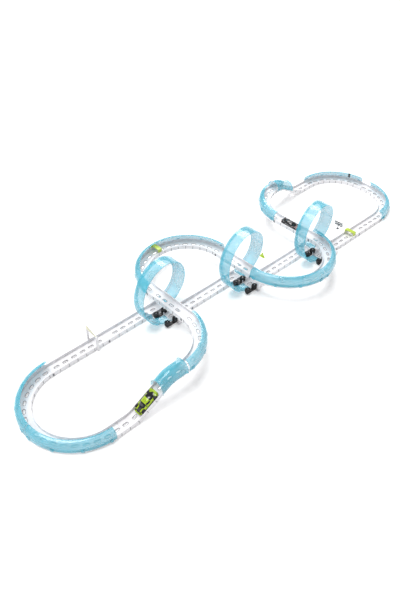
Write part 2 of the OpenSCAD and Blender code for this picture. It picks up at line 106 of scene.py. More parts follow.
class Shader:
    """A material with a Principled BSDF and short ways to add procedural detail."""

    def __init__(self, name, **sockets):
        self.mat = bpy.data.materials.new(name)
        self.mat.use_nodes = True
        self.nodes = self.mat.node_tree.nodes
        self.links = self.mat.node_tree.links
        self.bsdf = self.nodes["Principled BSDF"]
        self.coord = self.nodes.new("ShaderNodeTexCoord").outputs["Object"]
        for key, value in sockets.items():
            self.bsdf.inputs[key.replace("_", " ").title().replace("Ior", "IOR")].default_value = value

    def noise(self, scale, detail=3.0, stretch=(1, 1, 1)):
        mapping = self.nodes.new("ShaderNodeMapping")
        mapping.inputs["Scale"].default_value = stretch
        self.links.new(self.coord, mapping.inputs["Vector"])
        noise = self.nodes.new("ShaderNodeTexNoise")
        noise.inputs["Scale"].default_value = scale
        noise.inputs["Detail"].default_value = detail
        self.links.new(mapping.outputs["Vector"], noise.inputs["Vector"])
        return noise.outputs["Fac"]

    def colour(self, factor, stops):
        ramp = self.nodes.new("ShaderNodeValToRGB")
        while len(ramp.color_ramp.elements) < len(stops):
            ramp.color_ramp.elements.new(0.5)
        for element, (place, rgb) in zip(ramp.color_ramp.elements, stops):
            element.position = place
            element.color = (*rgb, 1)
        self.links.new(factor, ramp.inputs["Fac"])
        self.links.new(ramp.outputs["Color"], self.bsdf.inputs["Base Color"])

    def roughness(self, factor, low, high):
        span = self.nodes.new("ShaderNodeMapRange")
        span.inputs["From Min"].default_value = 0.3
        span.inputs["From Max"].default_value = 0.7
        span.inputs["To Min"].default_value = low
        span.inputs["To Max"].default_value = high
        self.links.new(factor, span.inputs["Value"])
        self.links.new(span.outputs["Result"], self.bsdf.inputs["Roughness"])

    def bump(self, factor, strength, depth):
        bump = self.nodes.new("ShaderNodeBump")
        bump.inputs["Strength"].default_value = strength
        bump.inputs["Distance"].default_value = depth
        self.links.new(factor, bump.inputs["Height"])
        self.links.new(bump.outputs["Normal"], self.bsdf.inputs["Normal"])


def shade(rgb, factor):
    return tuple(min(1, c * factor) for c in rgb)


def moulded(name, rgb, rough=0.35, grain=900, bump=0.12, drift=0.06, **sockets):
    """Moulded plastic or rubber: slow colour drift, uneven gloss and a fine skin."""
    shader = Shader(name, **sockets)
    slow = shader.noise(22, 2)
    fine = shader.noise(grain, 4)
    shader.colour(slow, [(0.35, shade(rgb, 1 - drift)), (0.65, shade(rgb, 1 + drift))])
    shader.roughness(shader.noise(140), rough * 0.8, rough * 1.25)
    shader.bump(fine, bump, 0.00015)
    return shader.mat


def brushed(name, rgb):
    shader = Shader(name, metallic=1.0)
    streaks = shader.noise(260, 5, (1, 1, 0.06))
    shader.colour(streaks, [(0.3, shade(rgb, 0.82)), (0.7, rgb)])
    shader.roughness(streaks, 0.22, 0.4)
    shader.bump(streaks, 0.1, 0.0001)
    return shader.mat


def checkered(name, size_m):
    """Black and pale grey squares on a printed board, worn a little."""
    shader = Shader(name, roughness=0.5)
    check = shader.nodes.new("ShaderNodeTexChecker")
    check.inputs["Scale"].default_value = 1 / size_m
    check.inputs["Color1"].default_value = (0.012, 0.012, 0.014, 1)
    check.inputs["Color2"].default_value = (0.72, 0.73, 0.74, 1)
    shader.links.new(shader.coord, check.inputs["Vector"])
    shader.links.new(check.outputs["Color"], shader.bsdf.inputs["Base Color"])
    shader.bump(shader.noise(700), 0.1, 0.0001)
    return shader.mat


WHITE = moulded("white_plastic", (0.87, 0.855, 0.875), 0.38, drift=0.03)
# Lighter copy of the white plastic: painted light on the half-round arches at the slots
LIT_WHITE = moulded("white_painted_light", (0.95, 0.945, 0.96), 0.4, drift=0.02)
# Grey for the ribs of the white walls: painted shade on the walls' outer faces
RIB_SHADE_GREY = moulded("rib_painted_shade", (0.42, 0.415, 0.43), 0.5)
# Dark grey for the slot rims: painted shade of the hollow under each slot
SLOT_SHADE_GREY = moulded("slot_painted_shade", (0.17, 0.17, 0.185), 0.5)
BLUE = moulded("clear_blue_plastic", (0.09, 0.58, 0.74), 0.1, grain=60, bump=0.02,
               drift=0.08, alpha=0.46, coat_weight=0.6, ior=1.5)
RUBBER = moulded("rubber", (0.018, 0.018, 0.02), 0.6, grain=1500, bump=0.3)
BLACK = moulded("black_plastic", (0.012, 0.012, 0.014), 0.35)
GREY = moulded("grey_plastic", (0.16, 0.16, 0.175), 0.45)
LIME = moulded("lime_plastic", (0.52, 0.66, 0.07), 0.3, drift=0.08)
LIME_PAINT = moulded("lime_paint", (0.42, 0.60, 0.02), 0.22, drift=0.05, coat_weight=0.7)
DARK_PAINT = moulded("dark_paint", (0.055, 0.055, 0.06), 0.28, drift=0.15, coat_weight=0.6)
PINK_SILVER = moulded("pink_silver_paint", (0.52, 0.38, 0.38), 0.3, drift=0.08, metallic=0.4)
GLASS = moulded("tinted_window", (0.006, 0.007, 0.008), 0.1, bump=0.02, coat_weight=0.6)
CREAM = moulded("cream_pennant", (0.85, 0.84, 0.62), 0.5, drift=0.04)
STEEL = brushed("steel", (0.62, 0.63, 0.66))
CELL = brushed("cell_can", (0.72, 0.48, 0.16))
CHECKER = checkered("checker_board", 5.7 * MM)

# ---- Building pieces ----


SHARP = radians(38)


def piece(name, verts, faces, mats, body, slot, replaced=(), face_mats=None, bevel=0):
    mesh = bpy.data.meshes.new(name)
    mesh.from_pydata([tuple(v) for v in verts], [], faces)
    bm = bmesh.new()
    bm.from_mesh(mesh)
    bmesh.ops.recalc_face_normals(bm, faces=bm.faces)
    bm.to_mesh(mesh)
    bm.free()
    for mat in mats:
        mesh.materials.append(mat)
    if face_mats:
        mesh.polygons.foreach_set("material_index", face_mats)
    mesh.shade_smooth()
    mesh.set_sharp_from_angle(angle=SHARP)
    obj = bpy.data.objects.new(name, mesh)
    bpy.context.scene.collection.objects.link(obj)
    if bevel:
        edges = obj.modifiers.new("rounded_edges", "BEVEL")
        edges.width = bevel
        edges.segments = 2
        edges.limit_method = "ANGLE"
    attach(obj, body)
    if replaced:
        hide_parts(*replaced)
    return obj


class Mesh:
    """Gathers closed parts, each with a material number, into one mesh."""

    def __init__(self):
        self.verts, self.faces, self.mats = [], [], []

    def add(self, verts, faces, mat=0):
        base = len(self.verts)
        self.verts += [Vector(v) for v in verts]
        self.faces += [tuple(base + i for i in face) for face in faces]
        self.mats += mat if isinstance(mat, list) else [mat] * len(faces)

    def moved(self, matrix):
        self.verts = [matrix @ v for v in self.verts]
        return self

    def piece(self, name, mats, body, slot, **more):
        return piece(name, self.verts, self.faces, mats, body, slot, face_mats=self.mats, **more)


def skin(rings, closed=False):
    """Vertices and faces through equal closed rings, capped unless they close on themselves."""
    n, count = len(rings[0]), len(rings)
    verts = [p for ring in rings for p in ring]
    faces = []
    for i in range(count if closed else count - 1):
        a, b = i * n, (i + 1) % count * n
        faces += [(a + k, b + k, b + (k + 1) % n, a + (k + 1) % n) for k in range(n)]
    if not closed:
        faces.append(tuple(range(n - 1, -1, -1)))
        faces.append(tuple((count - 1) * n + k for k in range(n)))
    return verts, faces


def revolved(profile, steps=40):
    """Solid of revolution about Z from (radius, height) points, first and last on the axis."""
    rings = [[Vector((r * cos(a), r * sin(a), z)) for r, z in profile]
             for a in (2 * pi * i / steps for i in range(steps))]
    n = len(profile)
    verts = [p for ring in rings for p in ring]
    faces = []
    for i in range(steps):
        a, b = i * n, (i + 1) % steps * n
        faces += [(a + k, b + k, b + k + 1, a + k + 1) for k in range(n - 1)]
    return verts, faces


def block(centre, along, out, half):
    """Box about centre: half sizes along the lane, outwards and upwards."""
    along, out = Vector(along).normalized(), Vector(out).normalized()
    up = along.cross(out)
    signs = [(-1, -1, -1), (1, -1, -1), (1, 1, -1), (-1, 1, -1),
             (-1, -1, 1), (1, -1, 1), (1, 1, 1), (-1, 1, 1)]
    verts = [Vector(centre) + along * (s[0] * half[0]) + out * (s[1] * half[1]) + up * (s[2] * half[2])
             for s in signs]
    faces = [(0, 3, 2, 1), (4, 5, 6, 7), (0, 1, 5, 4), (1, 2, 6, 5), (2, 3, 7, 6), (3, 0, 4, 7)]
    return verts, faces


def arc(cx, cz, r, a0, a1, steps):
    return [(cx + r * cos(radians(a0 + (a1 - a0) * i / steps)),
             cz + r * sin(radians(a0 + (a1 - a0) * i / steps))) for i in range(steps + 1)]


# ---- Clear guards ----

SHEET = 1.6 * MM
FIT = 0.15 * MM
CURL_R = 18 * MM
CURL_Z = 20 * MM
GUARD_OUT = R_OUT + FIT + SHEET
GUARD_FOOT = 6 * MM


def guard_profile():
    cx, half = GUARD_OUT - CURL_R, SHEET / 2
    outer = [(GUARD_OUT, GUARD_FOOT + half)] + arc(cx, CURL_Z, CURL_R, 0, 86, 14)
    inner = arc(cx, CURL_Z, CURL_R - SHEET, 86, 0, 14) + [(GUARD_OUT - SHEET, GUARD_FOOT + half)]
    rim = arc(cx, CURL_Z + CURL_R - half, half, 90, 270, 5)
    foot = arc(GUARD_OUT - half, GUARD_FOOT + half, half, 180, 360, 5)
    return outer + rim + inner + foot[1:-1]


GUARD_PROFILE = guard_profile()


def on_circle(centre, angle, r, z):
    return Vector((centre[0] + r * cos(angle), centre[1] + r * sin(angle), centre[2] + z))


def add_guard(mesh, centre, a0, turn):
    steps = max(8, round(turn / 2))
    angles = [radians(a0 + turn * i / steps) for i in range(steps + 1)]
    mesh.add(*skin([[on_circle(centre, a, r, z) for r, z in GUARD_PROFILE] for a in angles]))
    for part in (0.06, 0.35, 0.65, 0.94):
        a = radians(a0 + part * turn)
        normal = (cos(a), sin(a), 0)
        along = (-sin(a), cos(a), 0)
        mesh.add(*block(on_circle(centre, a, GUARD_OUT + 0.5 * MM, 10.5 * MM), along, normal,
                        (4.8 * MM, 0.9 * MM, 5.4 * MM)))
        for side in (-1, 1):
            peg = on_circle(centre, a, GUARD_OUT + 1.0 * MM, 13.5 * MM) + Vector(along) * side * 3 * MM
            mesh.add(*block(peg, along, normal, (0.8 * MM, 0.6 * MM, 1.6 * MM)))


# In degrees: the gap before each guard, the turn of a whole one, and of the two short ones
GUARD_GAP = 0.3
GUARD_TURN = 89.4
SHORT_TURN = {"guard_1": 80, "guard_4": 75}


def guards():
    plan = {
        "left_guard": [((X_LEFT, Y_LOW, 0), 90), ((X_LEFT, Y_LOW, 0), 180)],
        "guard_1": [((LOOP_X[0] - R_MID, Y_LOW, DECK), 272)],
        "guard_2": [(((LOOP_X[0] + LOOP_X[1]) / 2, Y_HIGH, DECK), a) for a in (0, 90)],
        "guard_3": [(((LOOP_X[1] + LOOP_X[2]) / 2, Y_LOW, DECK), a) for a in (180, 270)],
        "guard_4": [((LOOP_X[2] + R_MID, Y_HIGH, DECK), 104)],
        "right_guard": [((X_RIGHT, Y_RIGHT, 0), 270), ((X_RIGHT, Y_HIGH, 0), 0)],
    }
    for node, parts in plan.items():
        mesh = Mesh()
        for centre, a0 in parts:
            add_guard(mesh, centre, a0 + GUARD_GAP, SHORT_TURN.get(node, GUARD_TURN))
        mesh.piece(f"{node}_shell", [BLUE], "track", "clear_blue", replaced=[node], bevel=0.25 * MM)


# ---- Loops ----

LOOP_R = size("loop_1", 2) / 2
LOOP_ZC = middle("loop_1", 2)
LOOP_W = 43.6 * MM
LOOP_T = 2.2 * MM
FAR_RIM = 16.4 * MM
NEAR_RIM = 4.4 * MM
LOOP_START = 13.7
LOOP_JOINT = 95
RIM_END = 336
RIM_FADE = 8
TONGUE_W = 15.8 * MM
LOOP_EASE = 0.5


def loop_point(origin, a, side, up):
    t = a / 360
    shift = LANE_STEP * (t - LOOP_EASE * sin(2 * pi * t) / (2 * pi))
    rim = 2 * pi * (a - LOOP_START) / (360 - LOOP_START)
    a = radians(a)
    return origin + Vector((LOOP_R * sin(a) - up * sin(rim), side - shift,
                            LOOP_ZC - LOOP_R * cos(a) + up * cos(rim)))


def channel(a):
    fade = max(0, min(1, (RIM_END - a) / RIM_FADE))
    w = TONGUE_W + (LOOP_W / 2 - TONGUE_W) * fade
    half, fillet = LOOP_T / 2, 1.0 * MM * fade
    near = max(LOOP_T + (NEAR_RIM - LOOP_T) * fade - half, LOOP_T + fillet)
    far = max(LOOP_T + (FAR_RIM - LOOP_T) * fade - half, LOOP_T + fillet)
    inner = w - LOOP_T
    edge = 0.5 * MM
    return ([(edge - w, 0), (w - edge, 0), (w, edge)]
            + arc(w - half, far, half, 0, 180, 6)
            + arc(inner - fillet, LOOP_T + fillet, fillet, 0, -90, 3)
            + arc(fillet - inner, LOOP_T + fillet, fillet, -90, -180, 3)
            + arc(half - w, near, half, 0, 180, 6) + [(-w, edge)])


def race_loop(n):
    origin = Vector((LOOP_X[n - 1], LANE_Y[n - 1], 0))
    mesh = Mesh()
    for a0, a1 in ((LOOP_START, LOOP_JOINT - 0.15), (LOOP_JOINT + 0.15, 360)):
        steps = round((a1 - a0) / 2)
        angles = [a0 + (a1 - a0) * i / steps for i in range(steps + 1)]
        mesh.add(*skin([[loop_point(origin, a, s, u) for s, u in channel(a)] for a in angles]))
    mesh.piece(f"loop_{n}_channel", [BLUE], "track", "clear_blue", replaced=[f"loop_{n}"])


# ---- Tunnels ----

RAMP_RUN = 154 * MM
RAMP_ANGLE = radians(28)
TUNNEL_IN = LANE_W / 2 + 0.35 * MM
TUNNEL_SIDE = 16 * MM
TUNNEL_LIP = 4 * MM


def ramp_height(s):
    """Height of the climbing floor line: foot arc, straight slope, head arc."""
    t, c, k = RAMP_ANGLE, cos(RAMP_ANGLE), sin(RAMP_ANGLE) / cos(RAMP_ANGLE)
    half_tan = sin(t / 2) / cos(t / 2)
    slope = (DECK - RAMP_RUN * half_tan) / (sin(t) - c * half_tan)
    r = (RAMP_RUN - slope * c) / (2 * sin(t))
    bend = r * sin(t)
    if s <= 0:
        return 0
    if s < bend:
        return r - (r * r - s * s) ** 0.5
    if s > RAMP_RUN - bend:
        rest = min(RAMP_RUN - s, bend) if s < RAMP_RUN else 0
        return DECK - r + (r * r - rest * rest) ** 0.5
    return r * (1 - c) + (s - bend) * k


def tunnel_ring(place, s, lip):
    def edge(r):
        return ([(-r, 7 * MM)] + arc(0, TUNNEL_SIDE, r, 180, 0, 24) + [(r, 7 * MM)])
    outer, inner = edge(TUNNEL_IN + SHEET + lip), edge(TUNNEL_IN + lip)
    z = ramp_height(s)
    return [place(s, p[0], z + p[1]) for p in outer + inner[::-1]]


def tunnels():
    x_up = X_LEFT + 2 * RAMP_FLAT
    x_down = LOOP_X[2] + R_MID + RAMP_HEAD + RAMP_RUN
    ends = [(lambda s, y, z: Vector((x_up + s, Y_FRONT + y, z)), 99 * MM, 191 * MM),
            (lambda s, y, z: Vector((x_down - s, Y_BACK - y, z)), 76 * MM, 167 * MM)]
    mesh = Mesh()
    for place, s0, s1 in ends:
        lips = [(0, 1), (1, 0.92), (2, 0.6), (3.4, 0.2), (5, 0)]
        rings = [(s0 + d * MM, f) for d, f in lips]
        rings += [(s0 + 5 * MM + (s1 - s0 - 10 * MM) * i / 24, 0) for i in range(1, 24)]
        rings += [(s1 - d * MM, f) for d, f in lips[::-1]]
        mesh.add(*skin([tunnel_ring(place, s, f * TUNNEL_LIP) for s, f in rings]))
    mesh.piece("tunnel_shells", [BLUE], "track", "clear_blue", replaced=["tunnels"])


# ---- Small parts of the lanes: slot rims dark with painted shade, scallops lighter with painted light and ribs grey with painted shade at the slots, clips at the joints ----


def slot_after(length, first):
    over = first + ceil((length - first) / SLOT_PITCH) * SLOT_PITCH - length
    return over + SLOT_PITCH if over < SLOT_L / 2 + MM else over


def straight_slots():
    """Centre, direction and sides with ribs for each slot of the level straights."""
    half_in, x_third = (LOOP_X[0] - X_LEFT) / 2, LOOP_X[2] + BOOSTER_L
    half_out = (X_RIGHT - x_third) / 2
    first, after, third = 23.5 * MM, 21 * MM, 25 * MM
    both, none = (-1, 1), ()
    rows = [(X_LEFT, LANE_Y[0], half_in, first, both),
            (X_LEFT + half_in, LANE_Y[0], half_in + LANE_END, slot_after(half_in, first), both),
            (x_third, LANE_Y[3], half_out, third, both),
            (x_third + half_out, LANE_Y[3], half_out, slot_after(half_out, third), both),
            (X_LEFT, Y_FRONT, RAMP_FLAT, SLOT_PITCH / 2, both)]
    for n in (1, 2, 3):
        rows.append((LOOP_X[n - 1], LANE_Y[n], BOOSTER_L, SLOT_PITCH / 2, none))
    for n in (1, 2):
        start = LOOP_X[n - 1] + BOOSTER_L
        rows.append((start, LANE_Y[n], LOOP_X[n] + LANE_END - start, after, both))
    columns = [(x, Y_LOW, DECK, Y_HIGH - Y_LOW, 38 * MM) for x in LOOP_X]
    columns.append((X_RIGHT + R_MID, Y_RIGHT, 0, Y_HIGH - Y_RIGHT, SLOT_PITCH / 2))
    east, north = Vector((1, 0, 0)), Vector((0, 1, 0))
    for x, y, length, first, sides in rows:
        while first < length - SLOT_L / 2 - MM:
            yield Vector((x + first, y, 0)), east, sides
            first += SLOT_PITCH
    for x, y, z, length, first in columns:
        while first < length - SLOT_L / 2 - MM:
            yield Vector((x, y + first, z)), north, both
            first += SLOT_PITCH


def curve_slots():
    quarters = [((X_LEFT, Y_LOW, 0), (90, 180)), ((LOOP_X[0] - R_MID, Y_LOW, DECK), (270,)),
                (((LOOP_X[0] + LOOP_X[1]) / 2, Y_HIGH, DECK), (0, 90)),
                (((LOOP_X[1] + LOOP_X[2]) / 2, Y_LOW, DECK), (180, 270)),
                ((LOOP_X[2] + R_MID, Y_HIGH, DECK), (90,)),
                ((X_RIGHT, Y_HIGH, 0), (0,)), ((X_RIGHT, Y_RIGHT, 0), (270,))]
    count = round(R_MID * pi / 2 / SLOT_PITCH)
    for centre, starts in quarters:
        for a0 in starts:
            for i in range(count):
                a = radians(a0 + (i + 0.5) * 90 / count)
                yield on_circle(centre, a, R_MID, 0), Vector((-sin(a), cos(a), 0)), (1,)


def ramp_slots():
    foot_x = LOOP_X[2] + R_MID + RAMP_HEAD + RAMP_RUN
    head = LOOP_X[0] - R_MID - X_LEFT - 2 * RAMP_FLAT - RAMP_RUN
    ramps = [(X_LEFT + 2 * RAMP_FLAT, Y_FRONT, 1, RAMP_FLAT, head),
             (foot_x, Y_BACK, -1, X_RIGHT - foot_x, RAMP_HEAD)]
    gap = 0.4 * MM
    for x, y, way, before, after in ramps:
        total = before + RAMP_RUN + after - 2 * gap
        count = round(total / SLOT_PITCH)
        for i in range(count):
            s = (i + 0.5) * total / count - before + gap
            rise = (ramp_height(s + MM) - ramp_height(s - MM)) / (2 * MM)
            yield Vector((x + way * s, y, ramp_height(s))), Vector((way, 0, rise)).normalized(), (-1, 1)


def oval(centre, along, out, length, width, z):
    """Outline of a slot, z above centre."""
    up, end = along.cross(out), (length - width) / 2
    return [centre + up * z + along * (end * (1 if cos(a) > 0 else -1) + width / 2 * cos(a))
            + out * (width / 2 * sin(a)) for a in (2 * pi * (k + 0.5) / 20 for k in range(20))]


def lane_details():
    rims, scallops, ribs = Mesh(), Mesh(), Mesh()
    inner_face = LANE_W / 2 - WALL_T
    for spot, along, sides in [*straight_slots(), *curve_slots(), *ramp_slots()]:
        out = Vector((-along.y, along.x, 0)).normalized()
        up = along.cross(out)
        top = spot + up * FLOOR_TOP
        # Dark ring down into each slot, as painted shade of the slot's hollow
        levels = [(1.6, 0.22), (1.6, -0.4), (-0.7, -0.4), (-0.7, 0.22)]
        ring = [oval(top, along, out, SLOT_L + g * MM, SLOT_W + g * MM, z * MM) for g, z in levels]
        rims.add(*skin(ring, closed=True))
        # Ribs on the walls' outer faces, grey as painted shade of the darker wall segments
        for side in sides:
            at = spot + out * side * (LANE_W / 2 + 0.3 * MM) + up * 6.6 * MM
            ribs.add(*block(at, along, out, (1.1 * MM, 0.45 * MM, 5.6 * MM)))
        # Half-round plates on the walls' inner faces, lighter white as painted light on the arches
        for side in (-1, 1) if sides else ():
            arch = [top + along * (8.5 * MM * cos(a)) + up * (7.0 * MM * sin(a))
                    for a in (pi * k / 14 for k in range(15))]
            scallops.add(*skin([[p + out * side * (inner_face + d) for p in arch]
                                for d in (-0.5 * MM, 0.3 * MM)]))
    rims.piece("slot_rims_painted_shade", [SLOT_SHADE_GREY], "track", "white_plastic")
    scallops.piece("wall_scallops_painted_light", [LIT_WHITE], "track", "white_plastic")
    ribs.piece("wall_ribs_painted_shade", [RIB_SHADE_GREY], "track", "white_plastic", bevel=0.25 * MM)


def joint_clips():
    mesh = Mesh()
    x_first = (X_LEFT + LOOP_X[0]) / 2
    x_third = (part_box("straight_3")[0][0] + X_RIGHT) / 2
    east, north = (1, 0, 0), (0, 1, 0)
    spots = [((X_LEFT, LANE_Y[0], 0), east), ((x_first, LANE_Y[0], 0), east),
             ((x_third, LANE_Y[3], 0), east), ((X_RIGHT, LANE_Y[3], 0), east)]
    spots += [((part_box(f"straight_{n}")[0][0], LANE_Y[n], 0), east) for n in (1, 2, 3)]
    spots += [((x, Y_LOW, DECK), north) for x in LOOP_X]
    spots += [((x, Y_HIGH, DECK), north) for x in LOOP_X]
    for (x, y, z), along in spots:
        out = Vector((-along[1], along[0], 0))
        for side in (-1, 1):
            spot = Vector((x, y, z + 5 * MM)) + out * side * (LANE_W / 2 + 0.2 * MM)
            mesh.add(*block(spot, along, out, (2.6 * MM, 0.5 * MM, 4.4 * MM)))
    mesh.piece("joint_clips", [GREY], "track", "grey_plastic", bevel=0.3 * MM)


# ---- Rollers and wheels ----

ROLLER_R = 9.6 * MM
ROLLER_H = 12 * MM
ROLLER_Z = 6.6 * MM


def roller_mesh():
    r, h, mesh = ROLLER_R, ROLLER_H, Mesh()
    tyre = [(0, 0), (r - 1.2 * MM, 0), (r - 0.3 * MM, 0.5 * MM), (r, 1.4 * MM)]
    for groove in (0.3, 0.5, 0.7):
        z = h * groove
        tyre += [(r, z - 0.7 * MM), (r - 0.5 * MM, z - 0.3 * MM),
                 (r - 0.5 * MM, z + 0.3 * MM), (r, z + 0.7 * MM)]
    tyre += [(r, h - 1.4 * MM), (r - 0.3 * MM, h - 0.5 * MM), (r - 1.2 * MM, h),
             (r - 2.6 * MM, h), (r - 3.0 * MM, h - 0.6 * MM), (r - 3.0 * MM, h - 1.8 * MM),
             (0, h - 1.8 * MM)]
    mesh.add(*revolved(tyre, 48), 0)
    hub = [(0, h - 2.4 * MM), (3.2 * MM, h - 2.4 * MM), (3.2 * MM, h - 0.6 * MM), (2.8 * MM, h - 0.2 * MM),
           (2.1 * MM, h - 0.2 * MM), (2.0 * MM, h - 0.6 * MM), (0, h - 0.6 * MM)]
    mesh.add(*revolved(hub, 32), 1)
    pin = [(0, -5 * MM), (1.2 * MM, -5 * MM), (1.5 * MM, -4.6 * MM), (1.5 * MM, h + 1.0 * MM),
           (1.2 * MM, h + 1.3 * MM), (0, h + 1.3 * MM)]
    mesh.add(*revolved(pin, 24), 2)
    for i in range(5):
        a = 2 * pi * i / 5
        spot = (4.6 * MM * cos(a), 4.6 * MM * sin(a), h - 1.3 * MM)
        spoke = (1.9 * MM, 0.45 * MM, 0.7 * MM)
        mesh.add(*block(spot, (cos(a), sin(a), 0), (-sin(a), cos(a), 0), spoke), 1)
    return mesh


def rollers():
    for n in (1, 2, 3):
        for letter in "abcd":
            node = f"roller_{n}{letter}"
            x, y, _ = JOINTS[f"{node}_spin"]["pos_m"]
            mesh = roller_mesh().moved(Matrix.Translation((x, y, ROLLER_Z)))
            mesh.piece(f"{node}_wheel", [RUBBER, BLACK, STEEL], node, "rubber", replaced=[node])


WHEEL_R = 6.4 * MM
TYRE_W = 6 * MM
CAR_W = 34 * MM


def add_wheel(mesh, outside):
    """Tyre with a rim and five spokes; its outer face is towards +Z at outside."""
    r, w = WHEEL_R, TYRE_W
    tyre = [(0, -w), (r - 1.0 * MM, -w), (r - 0.25 * MM, -w + 0.4 * MM), (r, -w + 1.2 * MM), (r, -1.2 * MM),
            (r - 0.25 * MM, -0.4 * MM), (r - 1.0 * MM, 0), (r - 1.9 * MM, -0.1 * MM),
            (r - 2.2 * MM, -0.9 * MM), (0, -0.9 * MM)]
    rim = [(0, -1.2 * MM), (r - 2.3 * MM, -1.2 * MM), (r - 2.3 * MM, -0.35 * MM),
           (r - 2.7 * MM, -0.25 * MM), (r - 3.0 * MM, -0.75 * MM), (1.5 * MM, -0.75 * MM),
           (1.3 * MM, -0.15 * MM), (0, -0.1 * MM)]
    shift = Vector((0, 0, outside))
    for profile, steps, mat in ((tyre, 40, 0), (rim, 32, 1)):
        verts, faces = revolved(profile, steps)
        mesh.add([v + shift for v in verts], faces, mat)
    for i in range(5):
        a = 2 * pi * i / 5
        spot = Vector((2.3 * MM * cos(a), 2.3 * MM * sin(a), -0.55 * MM)) + shift
        mesh.add(*block(spot, (cos(a), sin(a), 0), (-sin(a), cos(a), 0), (1.3 * MM, 0.4 * MM, 0.3 * MM)), 1)


def wheelset(car, place):
    node = f"{car}_{place}_wheels"
    joint = JOINTS[f"{node}_spin"]
    axis = Vector(joint["axis"]).normalized()
    mesh = Mesh()
    half = CAR_W / 2 - 0.5 * MM
    add_wheel(mesh, half)
    other = Mesh()
    add_wheel(other, half)
    other.moved(Matrix.Rotation(pi, 4, "X"))
    mesh.add(other.verts, other.faces, other.mats)
    rod = [(0, -half + 2 * MM), (1 * MM, -half + 2 * MM), (1 * MM, half - 2 * MM), (0, half - 2 * MM)]
    mesh.add(*revolved(rod, 16), 2)
    turn = Vector((0, 0, 1)).rotation_difference(axis).to_matrix().to_4x4()
    mesh.moved(Matrix.Translation(joint["pos_m"]) @ turn)
    mesh.piece(f"{node}_tyres", [RUBBER, GREY, STEEL], node, "rubber", replaced=[node])


# ---- Cars, built in millimetres facing +X with their wheels on z = 0 ----

HALF_L = 38.0
WHEELBASE = 46 * MM


def ease(x, x0, x1):
    t = max(0, min(1, (x - x0) / (x1 - x0)))
    return t * t * (3 - 2 * t)


def through(points, x):
    """Smooth curve through (place, value) points, flat at each of them."""
    for (x0, v0), (x1, v1) in zip(points, points[1:]):
        if x <= x1:
            return v0 + (v1 - v0) * ease(x, x0, x1)
    return points[-1][1]


def rounded(value, power):
    """Power that keeps the sign, to square off a circle's cosine and sine."""
    return abs(value) ** power * (1 if value >= 0 else -1)


BELT = [(-38, 10.5), (-30, 12.6), (-8, 12.0), (12, 11.6), (26, 9.8), (38, 7.0)]
ROOF = [(-32, 12.2), (-10, 18.6), (-2, 19.0), (6, 18.3), (21, 10.6)]
CABIN = [(-32, 10.5), (-14, 13.2), (4, 13.4), (21, 11.2)]


SILL_Z = 4.2
MAX_HALF_W = 16.9


def half_width(x):
    """Half width of the body, which swells over each wheel and rounds off at both ends."""
    flare = sum(1.1 * (1 - min(1, abs(x - c) / 11) ** 2) for c in (-23, 23))
    end = max(0.0, 1 - (abs(x) / HALF_L) ** 5) ** 0.34
    return (11.2 + 4.6 * end) * end ** 0.25 + flare * (1 if abs(x) < HALF_L - 1 else 0.5)


def body_ring(x):
    end = max(0.02, 1 - (abs(x) / HALF_L) ** 9) ** 0.4
    top = SILL_Z + (through(BELT, x) - SILL_Z) * (0.45 + 0.55 * end)
    w, mid, tall = min(MAX_HALF_W, half_width(x)), (SILL_Z + top) / 2, (top - SILL_Z) / 2
    return [Vector((x, w * rounded(cos(a), 0.42), mid + tall * rounded(sin(a), 0.62))) * MM
            for a in (2 * pi * (k + 0.5) / 40 for k in range(40))]


def cabin_ring(x):
    top, w = through(ROOF, x), through(CABIN, x)
    low = 9.0
    points = []
    for k in range(25):
        a = pi * k / 24
        lean = 1 - 0.30 * max(0.0, sin(a)) ** 1.5
        side, height = w * rounded(cos(a), 0.55) * lean, low + (top - low) * rounded(sin(a), 0.6)
        points.append(Vector((x, side, height)) * MM)
    return points + [Vector((x, -w, low - 1)) * MM, Vector((x, w, low - 1)) * MM]


def cabin_paint(centre):
    """0 for painted roof and pillars, 1 for dark glass."""
    x, y, z = (c / MM for c in centre)
    if x > 6.5 or x < -9.5:
        return 1 if abs(y) < through(CABIN, x) * 0.86 else 0
    return 1 if 12.6 < z < 16.6 and (-8 < x < -2.4 or -1.4 < x < 5.2) else 0


def face_centres(verts, faces):
    return [sum((verts[i] for i in face), Vector()) / len(face) for face in faces]


def cut_arches(obj):
    """Cuts the four wheel arches out of a car's shell."""
    cutter = Mesh()
    r, near, far = WHEEL_R + 1.1 * MM, CAR_W / 2 - TYRE_W - 1.2 * MM, CAR_W
    for x in (-WHEELBASE / 2, WHEELBASE / 2):
        for side in (-1, 1):
            verts, faces = revolved([(0, near), (r, near), (r, far), (0, far)], 40)
            turn = Matrix.Translation((x, 0, WHEEL_R)) @ Matrix.Rotation(side * pi / 2, 4, "X")
            cutter.add([turn @ v for v in verts], faces)
    mesh = bpy.data.meshes.new("arch_cutter")
    mesh.from_pydata([tuple(v) for v in cutter.verts], [], cutter.faces)
    bm = bmesh.new()
    bm.from_mesh(mesh)
    bmesh.ops.remove_doubles(bm, verts=bm.verts, dist=1e-7)
    bmesh.ops.recalc_face_normals(bm, faces=bm.faces)
    bm.to_mesh(mesh)
    bm.free()
    tool = bpy.data.objects.new("arch_cutter", mesh)
    bpy.context.scene.collection.objects.link(tool)
    cut = obj.modifiers.new("arches", "BOOLEAN")
    cut.operation = "DIFFERENCE"
    cut.solver = "EXACT"
    cut.object = tool
    depsgraph = bpy.context.evaluated_depsgraph_get()
    result = bpy.data.meshes.new_from_object(obj.evaluated_get(depsgraph))
    obj.modifiers.remove(cut)
    obj.data = result
    bpy.data.objects.remove(tool)
    result.shade_smooth()
    result.set_sharp_from_angle(angle=SHARP)


